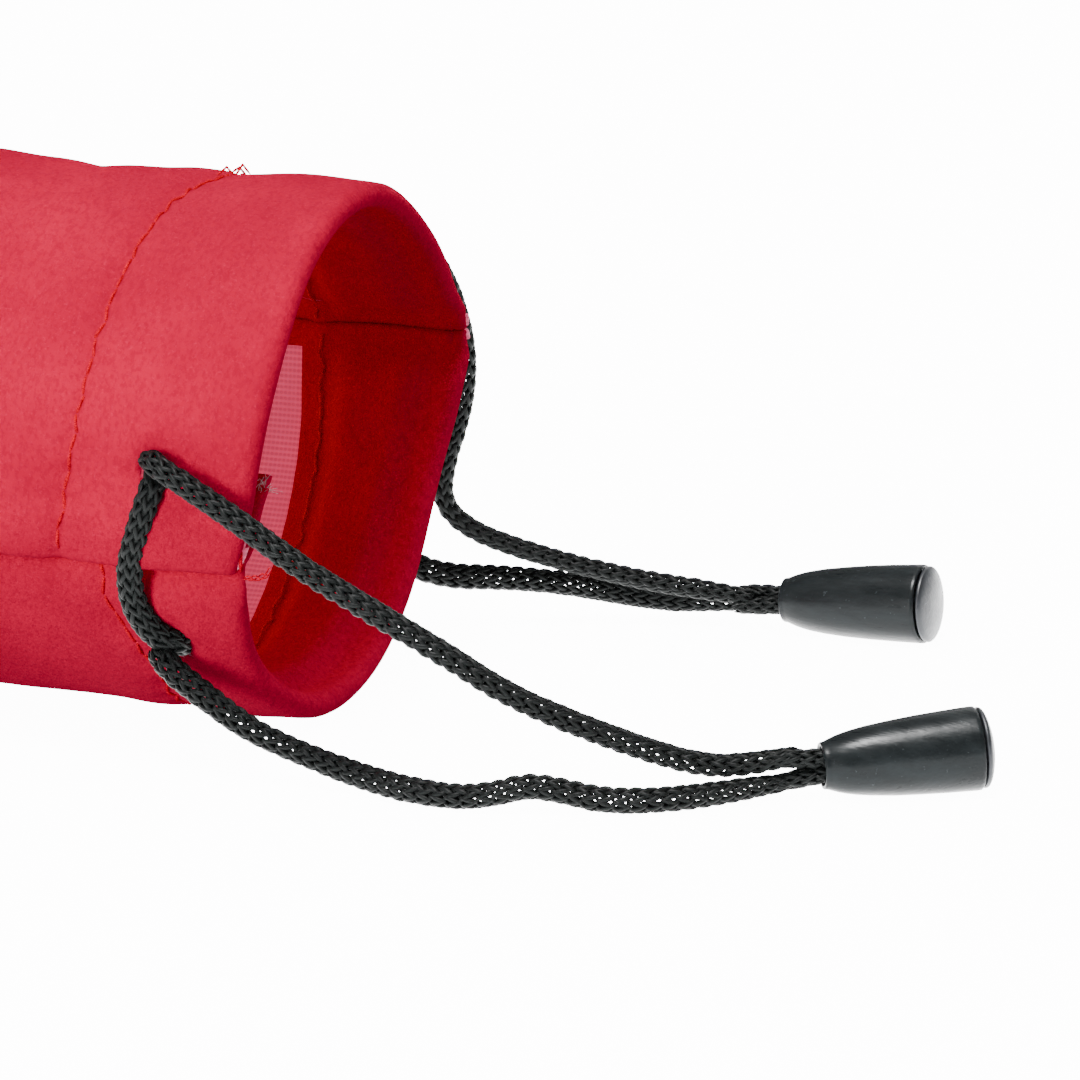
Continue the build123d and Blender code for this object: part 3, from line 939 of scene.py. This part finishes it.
def end_thread(name):
    """Stitches across the end seam, inside the bag."""
    cloth = bpy.context.scene.bag_cloth
    low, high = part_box("end_seam_thread")
    shape = Shape()
    pitch, radius = 2.6 * MM, cloth.thread / 2
    y = low[1]
    while y < high[1]:
        height = (low[2] + high[2]) / 2 + cloth.thickness / 2
        line = [
            Vector((low[0] - 3 * MM, y + pitch * 0.9 * share, height - dip * radius))
            for share, dip in ((0, 0.4), (0.2, 0.0), (0.5, 0.0), (0.8, 0.0), (1, 0.4))
        ]
        shape.add_strand(line, radius)
        y += pitch
    return shape.make(name)


# ---- cords --------------------------------------------------------------------------
def round_mouth(x, radius, angle):
    """Point in metres at a radius and angle in millimetres and degrees."""
    turn = math.radians(angle)
    return (x * MM, -radius * MM * math.cos(turn), AXIS_Z + radius * MM * math.sin(turn))


def spline_line(points):
    """Points along the smooth NURBS line that has these control points."""
    curve = bpy.data.curves.new("route", "CURVE")
    curve.dimensions = "3D"
    curve.resolution_u = 16
    spline = curve.splines.new("NURBS")
    spline.points.add(len(points) - 1)
    for target, point in zip(spline.points, points):
        target.co = (*point, 1.0)
    spline.order_u = 3
    spline.use_endpoint_u = True
    holder = bpy.data.objects.new("route", curve)
    bpy.context.scene.collection.objects.link(holder)
    mesh = bpy.data.meshes.new_from_object(holder)
    line = [vertex.co.copy() for vertex in mesh.vertices]
    bpy.data.objects.remove(holder)
    bpy.data.meshes.remove(mesh)
    bpy.data.curves.remove(curve)
    return line


def length_of(line):
    return sum((after - before).length for before, after in zip(line, line[1:]))


def evenly(line, step):
    """The same line, with points a step apart."""
    count = max(int(round(length_of(line) / step)), 2)
    lengths = np.concatenate([[0], np.cumsum([(b - a).length for a, b in zip(line, line[1:])])])
    wanted = np.linspace(0, lengths[-1], count + 1)
    columns = [np.interp(wanted, lengths, [point[axis] for point in line]) for axis in range(3)]
    return [Vector(point) for point in zip(*columns)]


def frames_along(line):
    """Direction, side and lift at each point, turning as little as possible."""
    frames = []
    side = None
    for index in range(len(line)):
        ahead = (line[min(index + 1, len(line) - 1)] - line[max(index - 1, 0)]).normalized()
        if side is None:
            side = sides_of(ahead)[0]
        side = (side - ahead * side.dot(ahead)).normalized()
        frames.append((ahead, side, ahead.cross(side)))
    return frames


def cord_radii(far, total, start_pinch, end_pinch, seed):
    """Half width and half height of a soft cord: it flattens and narrows along its way."""
    settings = bpy.context.scene.bag_cords
    base = settings.diameter / 2
    wave = noise.noise(Vector((far * 55.0, seed * 9.1, 0.0)))
    flat = 0.10 + 0.16 * wave
    pinch = 1.0
    if start_pinch:
        pinch *= 1 - start_pinch * math.exp(-far / (3.0 * MM))
    if end_pinch:
        pinch *= 1 - end_pinch * math.exp(-(total - far) / (5.0 * MM))
    return base * (1 + flat) * pinch, base * (1 - flat) * pinch


def add_yarn(shape, centre, along, out, length, wide, thick):
    """One side of a knitted stitch: a plump bit of yarn lying along the cord."""
    across = along.cross(out).normalized()
    rings = []
    for share in (-1.0, -0.72, -0.25, 0.25, 0.72, 1.0):
        round_off = math.sqrt(max(1 - share * share * 0.93, 0.0))
        middle = centre + along * (length / 2 * share) - out * (thick * 0.55 * share * share)
        rings.append([
            middle + across * (math.cos(turn) * wide / 2 * round_off)
            + out * (math.sin(turn) * thick / 2 * round_off)
            for turn in (math.tau * step / 6 for step in range(6))
        ])
    shape.add_rings(rings)


def knitted(shape, line, seed, start_pinch=0.0, end_pinch=0.0, shown=None):
    """Knit a hollow cord along a line: rows of V-shaped stitches all round it."""
    settings = bpy.context.scene.bag_cords
    total = length_of(line)
    courses = evenly(line, settings.course)
    frames = frames_along(courses)
    step = math.tau / settings.wales
    for index, (point, (ahead, side, lift)) in enumerate(zip(courses, frames)):
        if shown and not shown(point):
            continue
        far = index * settings.course
        wide, tall = cord_radii(far, total, start_pinch, end_pinch, seed)
        twist = 0.35 * noise.noise(Vector((far * 40.0, seed * 3.3, 4.0)))
        for wale in range(settings.wales):
            for leg in (-1, 1):
                turn = wale * step + twist + leg * step * 0.235
                out = (side * math.cos(turn) + lift * math.sin(turn)).normalized()
                middle = point + side * (math.cos(turn) * wide * 0.84)
                middle = middle + lift * (math.sin(turn) * tall * 0.84)
                around = ahead.cross(out).normalized()
                uneven = noise.noise(Vector((index * 0.9, wale * 1.7 + leg, seed)))
                along = (ahead + around * (leg * (0.38 + 0.12 * uneven))).normalized()
                slip = ahead * (settings.course * (0.25 if wale % 2 else -0.25) + 0.12 * MM * uneven)
                add_yarn(
                    shape, middle + slip + out * (0.06 * MM * uneven), along, out,
                    settings.course * (1.42 + 0.1 * uneven), wide * 0.40, wide * 0.36,
                )


def add_core(shape, line, radius, sides=10):
    """Plain inner tube of a cord where cloth hides its knit."""
    rings = []
    for point, (_, side, lift) in zip(line, frames_along(line)):
        rings.append([
            point + (side * math.cos(turn) + lift * math.sin(turn)) * radius
            for turn in (math.tau * step / sides for step in range(sides))
        ])
    shape.add_rings(rings)


NEAR_UPPER_ROUTE = (
    (108.0, -31.6, 39.4),
    (108.2, -36.2, 41.0),
    (110.4, -38.8, 40.8),
    (116.7, -39.2, 37.7),
    (123.7, -39.4, 33.9),
    (130.6, -39.2, 29.6),
    (140.8, -38.0, 24.2),
    (149.0, -36.4, 19.7),
    (156.4, -33.6, 14.5),
    (163.4, -29.6, 10.7),
    (169.4, -25.6, 7.6),
    (175.6, -22.0, 5.0),
    (181.4, -20.2, 4.4),
    (187.0, -16.8, 5.5),
)
NEAR_LOWER_ROUTE = (
    (107.6, -27.2, 15.6),
    (106.8, -31.6, 14.8),
    (109.2, -33.4, 13.2),
    (114.2, -34.2, 10.4),
    (121.0, -34.6, 6.5),
    (128.0, -34.2, 4.1),
    (135.2, -34.9, 2.5),
    (143.4, -37.0, 1.8),
    (151.4, -37.6, 1.7),
    (156.0, -36.2, 2.4),
    (159.6, -34.8, 3.5),
    (163.4, -32.8, 2.7),
    (168.2, -31.9, 1.75),
    (174.2, -29.6, 1.7),
    (180.8, -23.2, 1.75),
    (187.0, -16.9, 2.3),
)
FAR_UPPER_ROUTE = (
    (106.0, 26.4, 55.4),
    (106.6, 32.0, 59.0),
    (110.2, 36.2, 57.4),
    (114.4, 38.6, 53.2),
    (117.0, 40.4, 46.6),
    (118.2, 41.6, 38.4),
    (116.8, 42.4, 30.6),
    (114.2, 42.8, 23.6),
    (113.4, 43.6, 17.8),
    (116.6, 45.4, 14.0),
    (122.8, 49.2, 10.9),
    (130.2, 53.6, 8.2),
    (138.4, 57.2, 6.1),
    (146.6, 60.0, 4.9),
    (151.4, 60.7, 4.4),
)
FAR_LOWER_ROUTE = (
    (105.4, 32.2, 26.8),
    (104.6, 36.2, 28.6),
    (102.2, 39.4, 27.4),
    (101.6, 40.8, 22.0),
    (103.6, 41.6, 15.0),
    (107.6, 42.6, 9.4),
    (113.4, 44.8, 7.2),
    (119.6, 48.4, 6.9),
    (126.2, 53.2, 5.8),
    (132.8, 58.2, 3.9),
    (139.4, 61.2, 2.8),
    (146.6, 63.0, 2.9),
    (151.4, 63.3, 3.2),
)
STRANDS = {
    "near_cord_upper_strand": ("near", NEAR_UPPER_ROUTE, 1.0),
    "near_cord_lower_strand": ("near", NEAR_LOWER_ROUTE, 2.0),
    "far_cord_upper_strand": ("far", FAR_UPPER_ROUTE, 3.0),
    "far_cord_lower_strand": ("far", FAR_LOWER_ROUTE, 4.0),
}


def loop_route(near):
    """A cord's way through both hems, with its bridge over the other side's seam."""
    x = 108.0 if near else 104.3
    start, stop = (10, 142) if near else (190, 322)
    hidden = [round_mouth(x, 32.4, start + 6 + (stop - start - 12) * part / 7) for part in range(8)]
    if near:
        bridge = ((144, 34.2, 107.6), (149, 38.0, 107.6), (157, 37.6, 107.2), (166, 37.4, 106.8),
                  (176, 37.4, 106.8), (184, 38.0, 107.2), (189, 34.6, 107.6))
    else:
        bridge = ((325, 33.8, 109.6), (327, 37.0, 109.4), (331, 37.4, 106.4), (338, 37.2, 104.7),
                  (346, 37.2, 105.0), (354, 37.2, 106.8), (361, 37.2, 108.4), (365, 36.2, 109.0),
                  (367, 33.4, 108.6))
    crossing = [round_mouth(at, radius, angle) for angle, radius, at in bridge]
    rest = [round_mouth(x, 32.4, angle + 180) for angle in (
        start + 6 + (stop - start - 12) * part / 7 for part in range(8)
    )]
    return hidden + crossing + rest


PAIR_LEAN = {"near": 0.0, "far": 64.0}


def bell_frame(side):
    """Neck and direction of a cord end, from its shell in the frame."""
    joint = next(item for item in frame["joints"] if item["name"] == f"{side}_bell_slide")
    along = -Vector(joint["axis"]).normalized()
    corners = np.array([vertex.co for vertex in frame["nodes"][f"{side}_bell_shell"].data.vertices])
    reach = corners @ np.array(along)
    offset = corners - np.outer(reach, np.array(along))
    axis = (offset.max(axis=0) + offset.min(axis=0)) / 2
    return Vector(axis) + along * float(reach.min()), along


# ---- cord ends ------------------------------------------------------------------------
SHELL_PROFILE = (
    (2.50, 4.0), (2.46, 0.5), (2.56, 0.08), (2.74, 0.0), (2.92, 0.04), (3.02, 0.2), (3.04, 0.5),
    (3.22, 0.95), (3.58, 1.9), (3.86, 2.9), (4.14, 4.2), (4.42, 6.0), (4.76, 9.0), (5.03, 12.5),
    (5.22, 15.8), (5.32, 18.4), (5.36, 19.6), (5.34, 20.0), (5.22, 20.18), (5.02, 20.2), (4.70, 20.18),
    (4.58, 20.0), (4.55, 19.0), (4.50, 13.0), (3.80, 7.0), (2.70, 4.4),
)
CAP_PROFILE = (
    (0.0, 17.4), (4.1, 17.4), (4.36, 17.7), (4.42, 18.3), (4.42, 20.42), (4.9, 20.44), (5.10, 20.5),
    (5.16, 20.65), (5.14, 20.85), (5.02, 21.02), (4.7, 21.22), (4.1, 21.46), (3.2, 21.74), (2.2, 21.94),
    (1.1, 22.06), (0.0, 22.1),
)


def turned_piece(name, profile, neck, along, marks, closed, sides=96):
    """A piece turned round an axis, with its moulding marks as small changes of radius."""
    side, lift = sides_of(along)
    rings = []
    for radius, far in profile:
        ring = []
        for index in range(sides):
            turn = math.tau * index / sides
            size = (radius + (marks(turn, far) if radius > 2.9 else 0.0)) * MM
            ring.append(neck + along * (far * MM) + (side * math.cos(turn) + lift * math.sin(turn)) * size)
        rings.append(ring)
    shape = Shape()
    shape.add_rings(rings, cap=False)
    if closed:
        first = len(rings) * sides - sides
        shape.faces += [
            (first + index, first + (index + 1) % sides, (index + 1) % sides, index)
            for index in range(sides)
        ]
    piece = shape.make(name)
    work = bmesh.new()
    work.from_mesh(piece.data)
    bmesh.ops.remove_doubles(work, verts=work.verts, dist=1e-6)
    bmesh.ops.recalc_face_normals(work, faces=work.faces)
    work.to_mesh(piece.data)
    work.free()
    piece.data.polygons.foreach_set("use_smooth", [True] * len(piece.data.polygons))
    return piece


def shell_marks(seed):
    def marks(turn, far):
        """Parting line, faint flats, and a nick and flash at the wide end."""
        parting = 0.05 * (bump(math.sin(turn), 1.0, 0.02) + bump(math.sin(turn), -1.0, 0.02))
        uneven = 0.05 * noise.noise(Vector((math.cos(turn) * 2, math.sin(turn) * 2, far * 0.25 + seed)))
        flash = 0.20 * bump(turn, 4.4, 0.07) * bump(far, 20.0, 0.5)
        nick = -0.16 * bump(turn, 2.2, 0.10) * bump(far, 19.4, 0.9)
        ragged = 0.05 * noise.noise(Vector((math.cos(turn) * 9, math.sin(turn) * 9, seed)))
        ragged = ragged * bump(far, 20.1, 0.4)
        return float(parting + uneven + flash + nick + ragged)
    return marks


def cap_marks(turn, far):
    return float(0.03 * noise.noise(Vector((math.cos(turn) * 3, math.sin(turn) * 3, far))))


# ---- operators --------------------------------------------------------------------------
class BAG_OT_stage(Operator):
    """Make the floor, the lights and the camera"""

    bl_idname = "bag.stage"
    bl_label = "Stage"

    def execute(self, context):
        stage = context.scene.bag_stage
        floor = new_piece("floor", [(-4, -4, 0), (4, -4, 0), (4, 4, 0), (-4, 4, 0)], [(0, 1, 2, 3)])
        floor.data.materials.append(material("floor_paper", paper_finish, stage.floor_colour))
        floor.visible_diffuse = False
        target = Vector((RIM_X + 23.5 * MM, 6.9 * MM, 23.95 * MM))
        azimuth, elevation = stage.azimuth, stage.elevation
        back = Vector((
            math.sin(azimuth) * math.cos(elevation),
            -math.cos(azimuth) * math.cos(elevation),
            math.sin(elevation),
        ))
        camera = bpy.data.objects.new("camera", bpy.data.cameras.new("camera"))
        camera.data.lens = stage.lens
        camera.data.sensor_width = 36.0
        camera.location = target + back * stage.distance
        camera.rotation_mode = "QUATERNION"
        camera.rotation_quaternion = (-back).to_track_quat("-Z", "Y")
        camera.data.clip_start = 0.01
        camera.data.clip_end = 50.0
        context.scene.collection.objects.link(camera)
        context.scene.camera = camera
        for name, place, size, power in (
            ("top_light", (0.16, -0.26, 1.05), 0.34, 7.8),
            ("front_light", (-0.20, -1.20, 0.48), 0.40, 4.4),
            ("low_light", (-0.05, -1.05, 0.15), 0.35, 10.0),
            ("left_light", (-0.95, -0.25, 0.40), 0.7, 2.5),
            ("right_light", (1.15, 0.45, 0.30), 0.6, 2.6),
            ("back_light", (0.10, 1.15, 0.60), 0.8, 7.0),
            ("shine_light", (0.16, -0.20, 1.00), 0.26, 80.0),
        ):
            light = bpy.data.objects.new(name, bpy.data.lights.new(name, "AREA"))
            light.data.size = size
            light.data.energy = power
            light.location = place
            aim = Vector((0.09, 0.0, 0.03)) - Vector(place)
            light.rotation_mode = "QUATERNION"
            light.rotation_quaternion = aim.to_track_quat("-Z", "Y")
            light.visible_diffuse = name != "shine_light"
            context.scene.collection.objects.link(light)
        world = bpy.data.worlds.new("studio")
        world.use_nodes = True
        world.node_tree.nodes["Background"].inputs["Color"].default_value = (1, 1, 1, 1)
        world.node_tree.nodes["Background"].inputs["Strength"].default_value = 0.40
        context.scene.world = world
        return {"FINISHED"}


class BAG_OT_cords(Operator):
    """Knit the free strands and the loops of both cords"""

    bl_idname = "bag.cords"
    bl_label = "Cords"

    def execute(self, context):
        settings = context.scene.bag_cords
        yarn = material("knitted_yarn", cord_finish, settings.colour)
        for side in ("near", "far"):
            line = evenly(spline_line(loop_route(side == "near")), 1.0 * MM)
            shape = Shape()
            add_core(shape, line, settings.diameter * 0.33)
            knitted(shape, line, 7.0, shown=lambda point: self.outside(point))
            loop = shape.make(f"{side}_cord_in_hem")
            loop.data.materials.append(yarn)
            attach(loop, BAG_BODY)
            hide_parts(f"{side}_cord_loop")
            self.knot(side, yarn)
        for name, (side, route, seed) in STRANDS.items():
            line = spline_line([(x * MM, y * MM, z * MM) for x, y, z in route])
            shape = Shape()
            knitted(shape, line, seed, start_pinch=0.22, end_pinch=0.30)
            strand = shape.make(name.replace("strand", "length"))
            strand.data.materials.append(yarn)
            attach(strand, BAG_BODY)
            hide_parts(name)
            length_of(line)
            evenly(line, 1.0 * MM)
        return {"FINISHED"}

    @staticmethod
    def outside(point):
        radius = math.hypot(point.y, point.z - AXIS_Z)
        return radius > MOUTH_RADIUS - 1.6 * MM

    @staticmethod
    def knot(side, yarn):
        """The two cords through the neck and their overhand knot in the shell."""
        neck, along = bell_frame(side)
        beside, lift = sides_of(along)
        lean = math.radians(PAIR_LEAN[side])
        pair = lift * math.cos(lean) - beside * math.sin(lean)
        shape = Shape()
        spread = ((-5.2, 1.50), (-3.2, 1.36), (-1.4, 1.12), (0.4, 1.0), (3.0, 0.98), (6.5, 1.05))
        for sign in (1, -1):
            line = [neck + along * (far * MM) + pair * (sign * apart * MM) for far, apart in spread]
            line = evenly(spline_line([tuple(point) for point in line]), 0.5 * MM)
            add_core(shape, line, 0.85 * MM)
            knitted(shape, line, 11.0 + sign, start_pinch=0.22, end_pinch=0.3)
        turns = []
        for step in range(40):
            turn = math.tau * 2 * step / 39
            size = (1.55 + 0.3 * math.sin(turn * 0.5)) * MM
            far = 6.4 + 6.4 * step / 39
            around = beside * math.cos(turn) + lift * math.sin(turn)
            turns.append(neck + along * (far * MM) + around * size)
        add_core(shape, turns, 1.45 * MM)
        piece = shape.make(f"{side}_cord_end_knot")
        piece.data.materials.append(yarn)
        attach(piece, BAG_BODY)
        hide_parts(f"{side}_cord_knot")


class BAG_OT_cord_ends(Operator):
    """Mould the shells and caps of the cord ends"""

    bl_idname = "bag.cord_ends"
    bl_label = "Cord ends"

    def execute(self, context):
        settings = context.scene.bag_ends
        shell_skin = moulded_finish("moulded_shell", settings.shell_colour, gloss=0.10, shine=0.055)
        cap_skin = moulded_finish("moulded_cap", settings.cap_colour, gloss=0.20, shine=0.20)
        for seed, side in enumerate(("near", "far")):
            neck, along = bell_frame(side)
            marks = shell_marks(seed * 5.0)
            shell = turned_piece(f"{side}_cord_bell", SHELL_PROFILE, neck, along, marks, True)
            cap = turned_piece(f"{side}_cord_bell_cap", CAP_PROFILE, neck, along, cap_marks, False)
            for piece, skin, body, node, slot in (
                (shell, shell_skin, f"{side}_bell", f"{side}_bell_shell", "bell"),
                (cap, cap_skin, f"{side}_cap", f"{side}_bell_cap", "cap"),
            ):
                piece.data.materials.append(skin)
                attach(piece, body)
                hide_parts(node)
        return {"FINISHED"}


class BAG_OT_panels(Operator):
    """Cut and fold the two cloth panels"""

    bl_idname = "bag.panels"
    bl_label = "Cloth panels"

    def execute(self, context):
        cloth = context.scene.bag_cloth
        for name, node, upper in (
            ("upper_cloth", "upper_panel", True), ("lower_cloth", "lower_panel", False)
        ):
            panel, edge, within = make_panel(name, upper)
            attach(panel, BAG_BODY)
            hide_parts(node)
            if upper:
                fibres = fray("near_seam_fibres", edge, within)
                fibres.data.materials.append(thread_finish("loose_fibre", cloth.fibre_colour))
                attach(fibres, BAG_BODY)
        return {"FINISHED"}


class BAG_OT_stitching(Operator):
    """Sew the hems and the seams"""

    bl_idname = "bag.stitching"
    bl_label = "Stitching"

    def execute(self, context):
        cloth = context.scene.bag_cloth
        twist = thread_finish("sewing_thread", cloth.thread_colour)
        pieces = {
            "upper_hem_needle_thread": hem_thread("upper_hem_stitches", True, False),
            "upper_hem_bobbin_thread": hem_thread("upper_hem_stitches_inside", True, True),
            "lower_hem_needle_thread": hem_thread("lower_hem_stitches", False, False),
            "lower_hem_bobbin_thread": hem_thread("lower_hem_stitches_inside", False, True),
            "near_seam_thread": seam_thread("near_seam_stitches", False),
            "far_seam_thread": seam_thread("far_seam_stitches", True),
            "end_seam_thread": end_thread("end_seam_stitches"),
        }
        for node, piece in pieces.items():
            piece.data.materials.append(twist)
            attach(piece, BAG_BODY)
            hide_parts(node)
        return {"FINISHED"}


class BAG_PT_sidebar(Panel):
    """Sizes, colours and pieces of the bag"""

    bl_label = "Drawstring Bag"
    bl_idname = "BAG_PT_sidebar"
    bl_space_type = "VIEW_3D"
    bl_region_type = "UI"
    bl_category = "Bag"

    def draw(self, context):
        for settings in (
            context.scene.bag_cloth, context.scene.bag_cords,
            context.scene.bag_ends, context.scene.bag_stage,
        ):
            box = self.layout.box()
            for name in settings.__annotations__:
                box.prop(settings, name)
        for operator in OPERATORS:
            self.layout.operator(operator.bl_idname)


SETTINGS = {
    "bag_cloth": ClothSettings,
    "bag_cords": CordSettings,
    "bag_ends": EndSettings,
    "bag_stage": StageSettings,
}
OPERATORS = (BAG_OT_stage, BAG_OT_cord_ends, BAG_OT_cords, BAG_OT_panels, BAG_OT_stitching)


def register():
    for name, settings in SETTINGS.items():
        bpy.utils.register_class(settings)
        setattr(bpy.types.Scene, name, PointerProperty(type=settings))
    for kind in (*OPERATORS, BAG_PT_sidebar):
        bpy.utils.register_class(kind)


def unregister():
    for kind in (BAG_PT_sidebar, *reversed(OPERATORS)):
        bpy.utils.unregister_class(kind)
    for name, settings in reversed(SETTINGS.items()):
        delattr(bpy.types.Scene, name)
        bpy.utils.unregister_class(settings)


def main():
    register()
    bpy.ops.bag.stage()
    bpy.ops.bag.cord_ends()
    bpy.ops.bag.cords()
    bpy.ops.bag.panels()
    bpy.ops.bag.stitching()
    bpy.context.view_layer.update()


if __name__ == "__main__":
    main()
